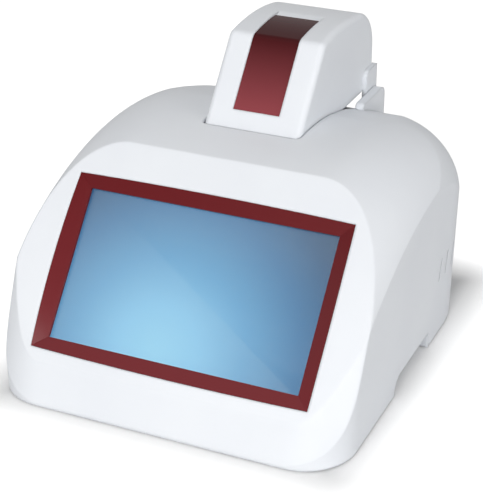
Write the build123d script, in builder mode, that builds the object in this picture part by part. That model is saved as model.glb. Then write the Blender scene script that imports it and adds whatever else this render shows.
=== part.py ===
from build123d import *
from math import cos, radians, sin
import os

# Frame: X to the viewer's right, Y to the back, Z up, all in millimetres.
# The origin is the middle of the footprint on the bench.

# Body
body_depth = 254.0
base_width = 214.0
body_draft = 1.0
front_corner = 31.0
rear_corner = 68.0
wall = 2.6
bench_gap = 1.0
skin_clearance = 0.3

# Front face and screen
face_tilt = 50.8
screen_back = 47.3
screen_height = 71.0
crown_up = 600.0
crown_rise = 3.5
band_lean = 0.42
band_lead = 1.0
band_half_width = 118.0
band_corner = 40.0

# Shoulder arch, which flares towards the back
shoulder_corner = 54.0
shoulder_half_width = 108.1
shoulder_flare = 0.05
shoulder_peak = 134.0
shoulder_peak_back = 142.3
shoulder_radius = 205.0

# Rear dome, as stations of distance from the front, half width, top and corner radius
dome_stations = (
    (-5.0, 112.0, 176.0, 48.0),
    (132.0, 111.0, 142.0, 44.0),
    (177.0, 110.5, 131.0, 43.0),
    (207.0, 105.5, 124.0, 44.0),
    (232.0, 92.0, 115.0, 46.0),
    (247.0, 73.0, 103.0, 42.0),
    (254.0, 50.0, 86.0, 30.0),
)

# Lift notches under the sides
notch_front = 93.0
notch_length = 60.0
notch_height = 11.5
notch_depth = 13.0
notch_corner = 9.0

# Side vents
vent_count = 4
vent_first = 168.5
vent_pitch = 12.0
vent_middle = 47.0
vent_height = 14.5
vent_width = 2.2
vent_lean = 12.0

# Display stack, measured along the normal of the screen from the bezel corners
bezel_width = 169.2
bezel_height = 104.2
bezel_bow_across = 1.0
bezel_bow_up = 1.2
bezel_clearance = 0.15
window_width = 153.5
window_height = 89.5
window_drop = 1.4
bezel_lip = 1.8
glass_width = 164.0
glass_height = 99.0
glass_thickness = 1.8
panel_width = 164.9
panel_height = 100.0
panel_thickness = 5.7
cradle_wall = 2.0
cradle_floor = 2.0
cradle_gap = 0.4
lug_reach = 8.0
lug_length = 12.0
lug_spread = 58.0
boss_radius = 3.5
screw_hole = 1.3
boss_hole_depth = 4.0

# Lid arm, as distances from the front and heights
lid_width = 61.0
lid_wall = 2.2
lid_edge = 3.5
lid_brow_round = 6.0
lid_toe = (129.6, 132.0)
lid_toe_width = 5.3
lid_brow = (167.3, 178.3)
lid_brow_lead = 9.1
lid_roof_radius = 180.0
lid_roof_turn = 20.6
lid_rear_radius = 27.0
lid_heel = 132.5
lid_heel_reach = 9.0
lid_hem = ((241.5, 127.0), (232.0, 125.4), (204.0, 125.4), (176.0, 127.0))
lid_post_radius = 3.5
lid_post_spots = ((20.0, 156.0), (20.0, 232.0))
inlay_width = 29.5
inlay_depth = 1.6
inlay_start = 12.5
inlay_end = 200.0
inlay_ramp = 8.5
inlay_thickness = 1.0
inlay_gap = 0.15
cover_bottom = 132.0
cover_thickness = 2.0
cover_gap = 0.3
cover_front = 135.6
cover_back = 248.0

# Well under the lid
well_front = 128.6
well_back = 216.0
well_floor = 116.0
well_wall = 1.8
well_corner = 4.0
lid_side_gap = 0.7

# Hinge
hinge_back = 243.0
hinge_height = 119.0
lug_root = 0.2
lug_thickness = 3.0
lug_radius = 8.4
lug_front = 234.5
lug_back = 252.5
lug_top = 138.5
lug_round = 5.0
bush_radius = 3.5
cheek_gap = 0.4
cheek_thickness = 5.6
cheek_top = 125.2
cheek_front = 213.0
cheek_back = 252.0
cheek_nose = 3.0
cheek_tail = 6.0
cheek_root = (22.0, 45.0)
cheek_skin = 1.2
pin_radius = 2.5
pin_fit = 0.05

# Measuring point
sample_back = 163.0
stage_radius = 13.0
stage_height = 2.5
pedestal_radius = 4.5
pedestal_tip = 1.75
pedestal_top = 121.2
pedestal_cone = 2.2
pedestal_flange = 8.0
pedestal_flange_height = 4.0
pedestal_foot = 106.0
sample_gap = 0.4
head_radius = 9.0
head_bottom = 124.5
head_neck = 6.0
head_top = 146.0
plunger_radius = 3.4
collar_radius = 5.0
collar_height = 2.0
stem_radius = 2.5
stem_height = 4.5
ferrule_radius = 0.8
slide_fit = 0.05
spring_radius = 3.9
spring_wire = 0.45
spring_turns = 4
spring_space = 8.0
bridge_width = 22.0
bridge_depth = 12.0
bridge_wall = 2.0
magnet_radius = 4.0
magnet_height = 3.0
magnet_spot = (18.0, 141.5)
magnet_gap = 0.4
keeper_height = 2.1
pillar_radius = 4.5
pillar_fillet = 1.5
actuator_radius = 10.0
actuator_height = 24.0
bracket_half = 13.0
bracket_depth = 24.0
bracket_wall = 2.0
bracket_tab = 9.0
bracket_drop = 38.0
fibre_radius = 1.0
fibre_bend = 12.0

# Underside
plate_bottom = 3.4
plate_thickness = 2.4
plate_clearance = 0.5
foot_radius = 9.0
foot_edge = 1.0
foot_spots = ((82.0, 30.0), (70.0, 212.0))
standoff_radius = 3.0
standoff_height = 6.0
standoff_inset = 6.0
post_radius = 4.5
post_spots = ((92.0, 42.0), (96.0, 172.0), (56.0, 232.0))
post_hole_depth = 14.0
screw_head_radius = 2.6
screw_head_height = 1.6
screw_length = 12.0
screw_slot = 0.7
screw_clearance = 0.3

# Boards and modules inside, as middle across, front, back, width and height
board_thickness = 1.6
main_board_place = (0.0, 62.0, 126.0, 104.0)
power_board_place = (0.0, 196.0, 234.0, 92.0)
spectrometer_place = (55.0, 134.0, 186.0, 58.0)
spectrometer_height = 30.0
lamp_place = (-60.0, 136.0, 184.0, 40.0)
lamp_height = 32.0
module_edge = 2.0
driver_width = 90.0
driver_height = 50.0
driver_gap = 3.0
driver_posts = ((38.0, 0.0), (-38.0, 0.0), (0.0, 18.0), (0.0, -18.0))

# Rear ports
port_opening_width = 86.0
port_opening_height = 26.0
port_middle = 34.0
port_cut = 6.0
port_corner = 2.0
port_panel_overlap = 2.0
port_panel_thickness = 2.0
port_panel_gap = 0.6
port_fit = 0.1
switch_across = -27.0
switch_body = (16.0, 22.0)
switch_flange = 1.0
switch_flange_height = 1.5
switch_depth = 12.8
switch_floor = 3.0
rocker_width = 12.4
rocker_radius = 9.2
rocker_rise = 2.0
rocker_root = 5.0
rocker_gap = 0.3
rocker_swing = 8.0
rocker_pivot = 1.5
jack_across = -4.0
jack_flange = 5.5
jack_flange_height = 1.0
jack_barrel = 4.6
jack_bore = 2.75
jack_bore_depth = 9.0
jack_depth = 14.0
usb_across = (15.0, 33.0)
usb_width = 13.4
usb_height = 5.9
usb_depth = 14.0
usb_wall = 0.6
usb_lip = 0.5
usb_tongue = (10.0, 1.8, 8.0)

os.makedirs("parts", exist_ok=True)

front = -body_depth / 2
tilt = radians(face_tilt)
screen_plane = Plane(
    origin=(0, front + screen_back, screen_height),
    x_dir=(1, 0, 0),
    z_dir=(0, -sin(tilt), cos(tilt)),
)
upslope = screen_plane.y_dir
nodes = []


def finish(piece, name):
    """Label a finished piece and write it as its own file."""
    piece.label = name
    export_step(piece, f"parts/{name}.step")
    nodes.append(name)


def across(back):
    """The vertical plane across the body at a distance from the front."""
    return Plane.XZ.offset(-(front + back))


def shoulder_top(back):
    """Height of the shoulder on the middle line."""
    return shoulder_peak - (back - shoulder_peak_back) ** 2 / (2 * shoulder_radius)


def crown(up):
    """Height of the crowned face above the plane of the bezel's corners."""
    return crown_rise - up * up / (2 * crown_up)


def arch(half_width, top, corner, floor):
    """A bread-loaf outline with round upper corners."""
    with BuildSketch() as outline:
        with BuildLine():
            Polyline(
                (-half_width, floor), (half_width, floor),
                (half_width, top), (-half_width, top), close=True,
            )
        make_face()
        fillet(outline.vertices().group_by(Axis.Y)[-1], corner)
    return outline.sketch


def hood_form(inset, floor):
    """The moulded hood as a solid, with every surface moved in by inset."""
    with BuildPart() as shoulder:
        for back in (-10.0, 60.0, 94.0, 142.0, 190.0, 262.0):
            half = shoulder_half_width + shoulder_flare * back - inset
            with BuildSketch(across(back)):
                add(arch(half, shoulder_top(back) - inset, shoulder_corner - inset, floor))
        loft()
    with BuildPart() as dome:
        for back, half, top, corner in dome_stations:
            with BuildSketch(across(min(back, body_depth - inset))):
                add(arch(half - inset, top - inset, corner - inset, floor))
        loft()
    with BuildPart() as walls:
        with BuildSketch(Plane.XY.offset(floor)):
            add(footprint(base_width / 2 - inset, front_corner - inset, rear_corner - inset, inset))
        extrude(amount=200, taper=-body_draft)
    with BuildPart() as band:
        with BuildSketch(Plane.XY.offset(floor)):
            lead = band_lead + band_lean * (bench_gap - floor)
            add(footprint(band_half_width - inset, band_corner - inset, band_corner - inset, inset - lead))
        extrude(amount=200, dir=(0, band_lean, 1))
    with BuildPart() as face:
        centre = screen_plane.from_local_coords((0, 0, crown_rise - crown_up))
        with BuildSketch(Plane(origin=centre, x_dir=upslope, z_dir=(1, 0, 0))):
            Circle(crown_up - inset)
        extrude(amount=base_width, both=True)
    with BuildPart() as form:
        add(walls.part)
        add(shoulder.part, mode=Mode.INTERSECT)
        add(dome.part, mode=Mode.INTERSECT)
        add(face.part, mode=Mode.INTERSECT)
        add(band.part, mode=Mode.INTERSECT)
    return form.part


def footprint(half_width, front_round, rear_round, inset):
    """The plan outline of the hood."""
    near = front + inset
    far = -front - inset
    with BuildSketch() as outline:
        with BuildLine():
            Polyline(
                (-half_width, near), (half_width, near),
                (half_width, far), (-half_width, far), close=True,
            )
        make_face()
        fillet(outline.vertices().group_by(Axis.Y)[0], front_round)
        fillet(outline.vertices().group_by(Axis.Y)[-1], rear_round)
    return outline.sketch


def notch_block(side, grow):
    """The space of a lift notch, grown by a wall or a clearance on every face."""
    with BuildPart() as block:
        with BuildSketch(Plane.YZ.offset(side * (base_width / 2 - notch_depth - grow))):
            with Locations((front + notch_front + notch_length / 2, 0)):
                Rectangle(notch_length + 2 * grow, 2 * (notch_height + grow))
            fillet(vertices().group_by(Axis.Y)[-1].sort_by(Axis.X)[0], notch_corner)
        extrude(amount=side * 3 * notch_depth)
    return block.part


def mirrored(spots):
    """Each spot and its mirror image, from a distance from the front."""
    return [(side * x, front + back) for x, back in spots for side in (-1, 1)]


def on_screen(depth):
    """A plane parallel to the screen, at a depth below the bezel's corners."""
    return screen_plane.offset(-depth)


# Depths below the bezel's corners, along the normal of the screen
glass_top = window_drop + bezel_lip
glass_bottom = glass_top + glass_thickness
panel_bottom = glass_bottom + panel_thickness
cradle_bottom = panel_bottom + cradle_floor
lug_top_depth = glass_bottom + 1.0
lug_bottom_depth = lug_top_depth + 2.5
lug_spots = [(x, y) for x in (-lug_spread, lug_spread) for y in (-1, 1)]

outer_form = hood_form(0.0, bench_gap)
inner_form = hood_form(wall, bench_gap - 1)
liner_form = hood_form(wall + plate_clearance, bench_gap - 1)

# Outline of the bezel, with slightly bowed sides
half_bezel = bezel_width / 2
tall_bezel = bezel_height / 2


def bezel_outline(grow):
    """Outline of the bezel on the screen plane, grown by a clearance."""
    x = half_bezel + grow
    y = tall_bezel + grow
    with BuildSketch() as outline:
        with BuildLine():
            ThreePointArc((-x, -y), (0, -y - bezel_bow_up), (x, -y))
            ThreePointArc((x, -y), (x + bezel_bow_across, 0), (x, y))
            ThreePointArc((x, y), (0, y + bezel_bow_up), (-x, y))
            ThreePointArc((-x, y), (-x - bezel_bow_across, 0), (-x, -y))
        make_face()
    return outline.sketch


# Sizes worked out from the pieces they hold
cradle_half_width = panel_width / 2 + cradle_gap + cradle_wall
cradle_half_height = panel_height / 2 + cradle_gap + cradle_wall
lug_middle = cradle_half_height + lug_reach / 2
lid_half = lid_width / 2
lid_inside = lid_half - lid_wall
well_half = lid_half + lid_side_gap
lug_outer = lid_half + lug_thickness
cheek_inner = lug_outer + cheek_gap
cheek_outer = cheek_inner + cheek_thickness
hinge_y = front + hinge_back
pin_end = cheek_outer - cheek_skin
plate_top = plate_bottom + plate_thickness
board_bottom = plate_top + standoff_height
sample_y = front + sample_back
cover_top = cover_bottom + cover_thickness
brow_lead = radians(lid_brow_lead)
lid_top = lid_brow[1] + lid_roof_radius * (1 - cos(brow_lead))
keeper_top = cover_bottom - magnet_height - magnet_gap
tray_bottom = well_floor - well_wall
port_face = body_depth - wall - port_panel_gap
sample_plane = Plane(origin=(0, sample_y, 0), x_dir=(1, 0, 0), z_dir=(0, -1, 0))
sample_axis = Axis((0, sample_y, 0), (0, 0, 1))


def place(spot):
    """A point of a side view, from a distance from the front and a height."""
    return (front + spot[0], spot[1])


def turned(*profile):
    """A piece turned about the measuring axis, from radii and heights."""
    with BuildPart() as piece:
        with BuildSketch(sample_plane):
            with BuildLine():
                Polyline(*profile, close=True)
            make_face()
        revolve(axis=sample_axis)
    return piece.part


def block(place, bottom, height, edge=0.0):
    """A box of a board or a module, from its middle, front, back and width."""
    middle, near, far, width = place
    with BuildPart() as piece:
        with BuildSketch(Plane.XY.offset(bottom)):
            with Locations((middle, front + (near + far) / 2)):
                Rectangle(width, far - near)
        extrude(amount=height)
        if edge:
            fillet(piece.edges().filter_by(Axis.Z), edge)
    return piece.part


def corners(place):
    """The four fixing points of a board or a module."""
    middle, near, far, width = place
    across_half = width / 2 - standoff_inset
    return [
        (middle + side * across_half, front + back)
        for side in (-1, 1)
        for back in (near + standoff_inset, far - standoff_inset)
    ]


def lid_profile(inset):
    """Side view of the lid arm, moved in by inset."""
    with BuildSketch() as outline:
        with BuildLine():
            Line(place(lid_toe), place(lid_brow))
            roof = JernArc(place(lid_brow), (cos(brow_lead), sin(brow_lead)), lid_roof_radius, -lid_roof_turn)
            rear = JernArc(roof @ 1, roof % 1, lid_rear_radius, lid_roof_turn - lid_brow_lead - 90)
            Polyline(
                rear @ 1, ((rear @ 1).X, lid_heel), *[place(spot) for spot in lid_hem], place(lid_toe),
            )
        make_face()
        fillet(outline.vertices().sort_by_distance(place(lid_brow))[0], lid_brow_round)
        if inset:
            offset(amount=-inset, kind=Kind.INTERSECTION)
    return outline.sketch


def lid_band(outer, inner, gap, ramp):
    """The part of the lid's skin that the inlay covers, between two depths."""
    rise = Vector(lid_brow[0] - lid_toe[0], lid_brow[1] - lid_toe[1]).normalized()
    foot = Vector(*place(lid_toe)) + rise * (inlay_start + gap)
    inward = Vector(rise.Y, -rise.X) * lid_toe_width
    above = foot - inward
    below = foot + inward
    end = front + inlay_end - gap
    top = lid_top
    with BuildSketch() as band:
        add(lid_profile(outer))
        add(lid_profile(inner), mode=Mode.SUBTRACT)
        with BuildLine():
            Polyline(
                (above.X, above.Y), (below.X, below.Y),
                (end, top - lid_rear_radius), (end, top - inlay_depth), (end + ramp, top),
                (end + ramp, top + lid_toe_width), (above.X, top + lid_toe_width), close=True,
            )
        make_face(mode=Mode.INTERSECT)
    return band.sketch


with BuildPart() as inside:
    # Walls of the lift notches, screw posts and display bosses, trimmed to the hood
    for side in (-1, 1):
        add(notch_block(side, wall))
    with BuildSketch(Plane.XY.offset(plate_top)):
        with Locations(*mirrored(post_spots)):
            Circle(post_radius)
    extrude(amount=shoulder_peak)
    with BuildSketch(on_screen(lug_top_depth)):
        with Locations(*[(x, y * lug_middle) for x, y in lug_spots]):
            Circle(boss_radius)
    extrude(amount=20)
    add(outer_form, mode=Mode.INTERSECT)

with BuildPart() as hood:
    add(outer_form)
    add(inner_form, mode=Mode.SUBTRACT)
    add(inside.part)
    # Hinge cheeks on the dome, each side of the lid
    for side in (-1, 1):
        with BuildSketch(Plane.YZ.offset(side * cheek_inner)):
            with BuildLine():
                Polyline(
                    (front + cheek_front, cheek_top), (front + cheek_front, cheek_top - cheek_root[0]),
                    (front + cheek_back, cheek_top - cheek_root[1]), (front + cheek_back, cheek_top), close=True,
                )
            make_face()
            fillet(vertices().group_by(Axis.Y)[-1].sort_by(Axis.X)[-1], cheek_tail)
            fillet(vertices().group_by(Axis.Y)[-1].sort_by(Axis.X)[0], cheek_nose)
        extrude(amount=side * cheek_thickness)
        with BuildSketch(Plane.YZ.offset(side * cheek_inner)):
            with Locations((hinge_y, hinge_height)):
                Circle(pin_radius)
        extrude(amount=side * (pin_end - cheek_inner), mode=Mode.SUBTRACT)
    # Bezel opening
    with BuildSketch(on_screen(lug_top_depth - 1)):
        add(bezel_outline(bezel_clearance))
    extrude(amount=30, mode=Mode.SUBTRACT)
    # Lift notches
    for side in (-1, 1):
        add(notch_block(side, 0.0), mode=Mode.SUBTRACT)
    # Side vents, leaning to the back
    for side in (-1, 1):
        with BuildSketch(Plane.YZ.offset(side * base_width / 2)):
            with Locations(*[(front + vent_first + i * vent_pitch, vent_middle) for i in range(vent_count)]):
                SlotOverall(vent_height, vent_width, rotation=90 - vent_lean)
        extrude(amount=wall, both=True, mode=Mode.SUBTRACT)
    # Well opening
    with BuildSketch(Plane.XY.offset(well_floor)):
        with Locations((0, front + (well_front + well_back) / 2)):
            RectangleRounded(2 * well_half, well_back - well_front, well_corner)
    extrude(amount=40, mode=Mode.SUBTRACT)
    # Port opening
    with BuildSketch(across(body_depth)):
        with Locations((0, port_middle)):
            RectangleRounded(port_opening_width, port_opening_height, port_corner)
    extrude(amount=port_cut, both=True, mode=Mode.SUBTRACT)
    # Screw holes in the posts and the display bosses
    with BuildSketch(Plane.XY.offset(plate_top)):
        with Locations(*mirrored(post_spots)):
            Circle(screw_hole)
    extrude(amount=post_hole_depth, mode=Mode.SUBTRACT)
    with BuildSketch(on_screen(lug_top_depth)):
        with Locations(*[(x, y * lug_middle) for x, y in lug_spots]):
            Circle(screw_hole)
    extrude(amount=boss_hole_depth, mode=Mode.SUBTRACT)
finish(hood.part, "upper_housing")

with BuildPart() as base:
    with BuildSketch(Plane.XY.offset(plate_bottom)):
        Rectangle(2 * base_width, 2 * body_depth)
    extrude(amount=plate_thickness)
    add(liner_form, mode=Mode.INTERSECT)
    for side in (-1, 1):
        add(notch_block(side, wall + plate_clearance), mode=Mode.SUBTRACT)
    with BuildSketch(Plane.XY.offset(plate_bottom)):
        with Locations(*mirrored(post_spots)):
            Circle(screw_hole + screw_clearance)
    extrude(amount=plate_thickness, mode=Mode.SUBTRACT)
    # Standoffs under the boards and the modules
    with BuildSketch(Plane.XY.offset(plate_top)):
        for item in (main_board_place, power_board_place, spectrometer_place, lamp_place):
            with Locations(*corners(item)):
                Circle(standoff_radius)
    extrude(amount=standoff_height)
finish(base.part, "base_plate")


def screws(plane, spots):
    """Slotted screws whose heads stand below a plane, with shanks above it."""
    with BuildPart() as group:
        with BuildSketch(plane):
            with Locations(*spots):
                Circle(screw_hole)
        extrude(amount=screw_length)
        with BuildSketch(plane):
            with Locations(*spots):
                Circle(screw_head_radius)
        extrude(amount=-screw_head_height)
        with BuildSketch(plane.offset(-screw_head_height)):
            with Locations(*spots):
                Rectangle(3 * screw_head_radius, screw_slot)
        extrude(amount=screw_slot, mode=Mode.SUBTRACT)
    return group.part


finish(screws(Plane.XY.offset(plate_bottom), mirrored(post_spots)), "base_screws")

with BuildPart() as feet:
    with BuildSketch():
        with Locations(*mirrored(foot_spots)):
            Circle(foot_radius)
    extrude(amount=plate_bottom)
    fillet(feet.edges().group_by(Axis.Z)[0], foot_edge)
finish(feet.part, "rubber_feet")


def side_plane(along, upright):
    """Section plane of a bezel side, with its local y along the screen's normal."""
    if upright:
        return Plane(screen_plane.from_local_coords((0, along, 0)), screen_plane.x_dir, -upslope)
    return Plane(screen_plane.from_local_coords((along, 0, 0)), upslope, screen_plane.x_dir)


def bezel_side(side, upright):
    """One mitred side of the bezel, sloping from the crowned face down to the window."""
    length = tall_bezel if upright else half_bezel
    outer = half_bezel if upright else tall_bezel
    inner = window_width / 2 if upright else window_height / 2
    bow = bezel_bow_across if upright else bezel_bow_up
    with BuildPart() as strip:
        for along in (-length, 0, length):
            reach = outer + bow * (1 - (along / length) ** 2)
            rise = crown(along) if upright else crown(outer)
            with BuildSketch(side_plane(along, upright)):
                with BuildLine():
                    Polyline(
                        (side * inner, -window_drop), (side * reach, rise),
                        (side * reach, -glass_top), (side * inner, -glass_top), close=True,
                    )
                make_face()
        loft()
        with BuildSketch(on_screen(glass_top)):
            x0 = window_width / 2
            y0 = window_height / 2
            x1 = 2 * half_bezel - x0
            y1 = 2 * tall_bezel - y0
            ends = [(side * x0, -y0), (side * x1, -y1), (side * x1, y1), (side * x0, y0)]
            if not upright:
                ends = [(-x0, side * y0), (-x1, side * y1), (x1, side * y1), (x0, side * y0)]
            Polygon(*ends, align=None)
        extrude(amount=20, mode=Mode.INTERSECT)
    return strip.part


with BuildPart() as bezel:
    for side in (-1, 1):
        add(bezel_side(side, True))
        add(bezel_side(side, False))
finish(bezel.part, "display_bezel")

with BuildPart() as glass:
    with BuildSketch(on_screen(glass_bottom)):
        RectangleRounded(glass_width, glass_height, 1.5)
    extrude(amount=glass_thickness)
finish(glass.part, "touch_glass")

with BuildPart() as panel:
    with BuildSketch(on_screen(panel_bottom)):
        Rectangle(panel_width, panel_height)
    extrude(amount=panel_thickness)
finish(panel.part, "lcd_panel")

with BuildPart() as cradle:
    with BuildSketch(on_screen(cradle_bottom)):
        RectangleRounded(2 * cradle_half_width, 2 * cradle_half_height, 2.0)
    extrude(amount=cradle_bottom - glass_top - cradle_gap / 2)
    with BuildSketch(on_screen(panel_bottom)):
        Rectangle(panel_width + 2 * cradle_gap, panel_height + 2 * cradle_gap)
    extrude(amount=20, mode=Mode.SUBTRACT)
    with BuildSketch(on_screen(cradle_bottom)):
        with GridLocations(panel_width / 2, panel_height / 2, 2, 2):
            Rectangle(panel_width / 2 - 12, panel_height / 2 - 12)
    extrude(amount=cradle_floor, mode=Mode.SUBTRACT)
    with BuildSketch(on_screen(lug_bottom_depth)):
        with Locations(*[(x, y * lug_middle) for x, y in lug_spots]):
            Rectangle(lug_length, lug_reach)
            Circle(screw_hole + screw_clearance, mode=Mode.SUBTRACT)
    extrude(amount=lug_bottom_depth - lug_top_depth)
    # Posts that carry the driver board
    with BuildSketch(on_screen(cradle_bottom + driver_gap)):
        with Locations(*driver_posts):
            Circle(standoff_radius)
    extrude(amount=driver_gap)
finish(cradle.part, "display_cradle")

with BuildPart() as driver:
    with BuildSketch(on_screen(cradle_bottom + driver_gap + board_thickness)):
        Rectangle(driver_width, driver_height)
    extrude(amount=board_thickness)
finish(driver.part, "driver_board")

with BuildPart() as display_screws:
    with BuildSketch(on_screen(lug_bottom_depth)):
        with Locations(*[(x, y * lug_middle) for x, y in lug_spots]):
            Circle(screw_hole)
    extrude(amount=lug_bottom_depth - lug_top_depth + boss_hole_depth)
    with BuildSketch(on_screen(lug_bottom_depth + screw_head_height)):
        with Locations(*[(x, y * lug_middle) for x, y in lug_spots]):
            Circle(screw_head_radius)
    extrude(amount=screw_head_height)
finish(display_screws.part, "display_screws")

with BuildPart() as arm:
    with BuildSketch(Plane.YZ.offset(-lid_half)):
        add(lid_profile(0))
    extrude(amount=lid_width)
    ends = arm.faces().sort_by(Axis.X)
    rims = ends[0].edges() + ends[-1].edges()
    fillet([edge for edge in rims if edge.center().Z > lid_toe[1] + 2], lid_edge)

with BuildPart() as lid_posts:
    with BuildSketch(Plane.XY.offset(cover_top)):
        with Locations(*mirrored(lid_post_spots)):
            Circle(lid_post_radius)
    extrude(amount=lid_top)
    add(arm.part, mode=Mode.INTERSECT)

with BuildPart() as lid:
    add(arm.part)
    # Hollow inside, open at the hem
    with BuildSketch(Plane.YZ.offset(-lid_inside)):
        add(lid_profile(lid_wall))
        near = front + lid_toe[0] + lid_toe_width
        far = front + lid_hem[0][0] + lid_heel_reach
        with BuildLine():
            Polyline(
                (near, lid_toe[1] + 3), (far, lid_heel + 3),
                (far, lid_toe[1] - 12), (near, lid_toe[1] - 12), close=True,
            )
        make_face()
    extrude(amount=2 * lid_inside, mode=Mode.SUBTRACT)
    add(lid_posts.part)
    # Recess of the inlay, over the front and the top, with a ramp at its end
    with BuildSketch(Plane.YZ.offset(-inlay_width / 2)):
        add(lid_band(-0.5, inlay_depth, 0.0, inlay_ramp))
    extrude(amount=inlay_width, mode=Mode.SUBTRACT)
    # Lugs outside the side walls, which carry the hinge
    for side in (-1, 1):
        with BuildSketch(Plane.YZ.offset(side * (lid_half - lug_root))):
            with BuildLine():
                Polyline(
                    place((lug_front, lug_top)), place((lug_back, lug_top)),
                    place((lug_back, hinge_height)), place((lug_front, hinge_height)), close=True,
                )
            make_face()
            fillet(vertices().group_by(Axis.Y)[-1].sort_by(Axis.X)[0], lug_round)
            with Locations((hinge_y, hinge_height)):
                Circle(lug_radius)
                Circle(bush_radius, mode=Mode.SUBTRACT)
        extrude(amount=side * (lug_thickness + lug_root))
    # Screw holes
    with BuildSketch(Plane.XY.offset(cover_top)):
        with Locations(*mirrored(lid_post_spots)):
            Circle(screw_hole)
    extrude(amount=screw_length, mode=Mode.SUBTRACT)
finish(lid.part, "lid_shell")

with BuildPart() as inlay:
    with BuildSketch(Plane.YZ.offset(inlay_gap - inlay_width / 2)):
        add(lid_band(inlay_depth - inlay_thickness, inlay_depth, inlay_gap, 0.0))
    extrude(amount=inlay_width - 2 * inlay_gap)
finish(inlay.part, "lid_inlay")

with BuildPart() as cover:
    with BuildSketch(Plane.XY.offset(cover_bottom)):
        with Locations((0, front + (cover_front + cover_back) / 2)):
            RectangleRounded(2 * (lid_inside - cover_gap), cover_back - cover_front, 2.0)
        with Locations(*mirrored(lid_post_spots)):
            Circle(screw_hole + screw_clearance, mode=Mode.SUBTRACT)
        with Locations((0, sample_y)):
            Circle(head_neck + slide_fit, mode=Mode.SUBTRACT)
    extrude(amount=cover_thickness)
finish(cover.part, "lid_cover")
finish(screws(Plane.XY.offset(cover_bottom), mirrored(lid_post_spots)), "lid_screws")

finish(
    turned(
        (plunger_radius + slide_fit, head_bottom), (head_radius - 2, head_bottom), (head_radius, head_bottom + 2),
        (head_radius, cover_bottom), (head_neck, cover_bottom), (head_neck, head_top),
        (plunger_radius + slide_fit, head_top),
    ),
    "head_bushing",
)
upper_tip = pedestal_top + sample_gap
collar_top = head_top + collar_height
finish(
    turned(
        (0, upper_tip), (pedestal_tip, upper_tip), (plunger_radius, upper_tip + pedestal_cone),
        (plunger_radius, head_top), (collar_radius, head_top), (collar_radius, collar_top),
        (stem_radius, collar_top), (stem_radius, collar_top + stem_height), (0, collar_top + stem_height),
    ),
    "upper_head",
)
bridge_under = collar_top + spring_space
with BuildPart() as spring:
    with BuildLine() as coil:
        Helix(
            pitch=(spring_space - 2 * spring_wire) / spring_turns, height=spring_space - 2 * spring_wire,
            radius=spring_radius, center=(0, sample_y, collar_top + spring_wire),
        )
    with BuildSketch(Plane(origin=coil.line @ 0, z_dir=coil.line % 0)):
        Circle(spring_wire)
    sweep(is_frenet=True)
finish(spring.part, "head_spring")

with BuildPart() as bridge:
    with BuildSketch(sample_plane.offset(-bridge_depth / 2)):
        half = bridge_width / 2
        with BuildLine():
            Polyline(
                (-half, cover_top), (bridge_wall - half, cover_top), (bridge_wall - half, bridge_under),
                (half - bridge_wall, bridge_under), (half - bridge_wall, cover_top), (half, cover_top),
                (half, bridge_under + bridge_wall), (-half, bridge_under + bridge_wall), close=True,
            )
        make_face()
    extrude(amount=bridge_depth)
    with BuildSketch(Plane.XY.offset(bridge_under)):
        with Locations((0, sample_y)):
            Circle(fibre_radius)
    extrude(amount=bridge_wall, mode=Mode.SUBTRACT)
finish(bridge.part, "head_bridge")

with BuildPart() as upper_fibre:
    with BuildLine() as route:
        FilletPolyline(
            (0, sample_y, bridge_under), (0, sample_y, bridge_under + bridge_wall + fibre_bend - 4),
            (0, hinge_y - fibre_bend, bridge_under + bridge_wall + fibre_bend - 4),
            (0, hinge_y - fibre_bend, cover_top), radius=fibre_bend - 5,
        )
    with BuildSketch(Plane(origin=route.line @ 0, z_dir=route.line % 0)):
        Circle(fibre_radius)
    sweep()
finish(upper_fibre.part, "upper_fibre")

with BuildPart() as magnets:
    with BuildSketch(Plane.XY.offset(cover_bottom)):
        with Locations(*mirrored((magnet_spot,))):
            Circle(magnet_radius)
    extrude(amount=-magnet_height)
finish(magnets.part, "latch_magnets")

with BuildPart() as bushes:
    for side in (-1, 1):
        with BuildSketch(Plane.YZ.offset(side * (lid_half - lug_root))):
            with Locations((hinge_y, hinge_height)):
                Circle(bush_radius)
                Circle(pin_radius + pin_fit, mode=Mode.SUBTRACT)
        extrude(amount=side * (lug_thickness + lug_root))
finish(bushes.part, "hinge_bushes")

with BuildPart() as pins:
    for side in (-1, 1):
        with BuildSketch(Plane.YZ.offset(side * lid_half)):
            with Locations((hinge_y, hinge_height)):
                Circle(pin_radius)
        extrude(amount=side * (pin_end - lid_half))
finish(pins.part, "hinge_pins")

with BuildPart() as tray:
    with BuildSketch(Plane.XY.offset(tray_bottom)):
        with Locations((0, front + (well_front + well_back) / 2)):
            RectangleRounded(
                2 * (well_half + well_wall), well_back - well_front + 2 * well_wall, well_corner + well_wall,
            )
    extrude(amount=40)
    add(liner_form, mode=Mode.INTERSECT)
    with BuildSketch(Plane.XY.offset(well_floor)):
        with Locations((0, front + (well_front + well_back) / 2)):
            RectangleRounded(2 * well_half, well_back - well_front, well_corner)
    extrude(amount=40, mode=Mode.SUBTRACT)
    # Pillars of the latch and the hole of the pedestal
    with BuildSketch(Plane.XY.offset(well_floor)):
        with Locations(*mirrored((magnet_spot,))):
            Circle(pillar_radius)
    extrude(amount=keeper_top - keeper_height - well_floor)
    with BuildSketch(Plane.XY.offset(tray_bottom)):
        with Locations((0, sample_y)):
            Circle(pedestal_radius + slide_fit)
    extrude(amount=well_wall, mode=Mode.SUBTRACT)
finish(tray.part, "well_tray")

with BuildPart() as keepers:
    with BuildSketch(Plane.XY.offset(keeper_top - keeper_height)):
        with Locations(*mirrored((magnet_spot,))):
            Circle(magnet_radius)
    extrude(amount=keeper_height)
finish(keepers.part, "latch_keepers")

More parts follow.
